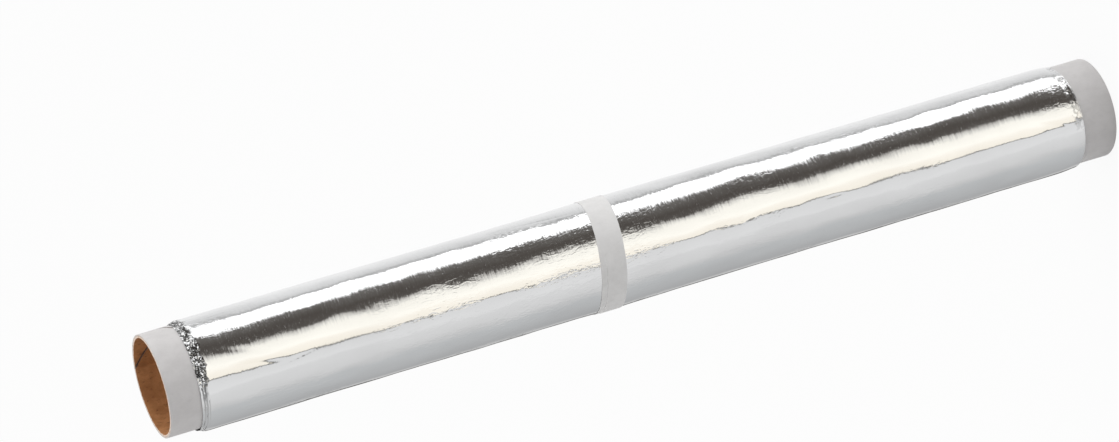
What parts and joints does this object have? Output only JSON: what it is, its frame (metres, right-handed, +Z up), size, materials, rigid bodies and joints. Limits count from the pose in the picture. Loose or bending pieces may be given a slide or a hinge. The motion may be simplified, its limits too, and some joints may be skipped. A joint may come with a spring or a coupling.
{
  "type": "aluminium foil roll",
  "caption": "Kitchen foil wound on a spirally wound paper core that stands out at both ends, closed with a narrow paper band.",
  "frame": {"origin": "centre of the core's lower end face, on which the roll stands", "axes": "+Z up along the core's axis towards the end that the picture shows open, +X towards the side where the foil lies close on the core, -Y towards the picture's camera"},
  "size_m": [0.0326, 0.0327, 0.3],
  "materials": {
    "kraft_paper": "matt brown kraft paper",
    "core_paper": "smooth pale grey paper",
    "foil": "bright rolled foil with fine creases",
    "tape_paper": "matt white paper tape"
  },
  "bodies": {
    "root": {"core_inner_ply": "kraft_paper", "core_outer_ply": "core_paper", "foil_winding": "foil", "closure_tape": "tape_paper"}
  },
  "joints": []
}
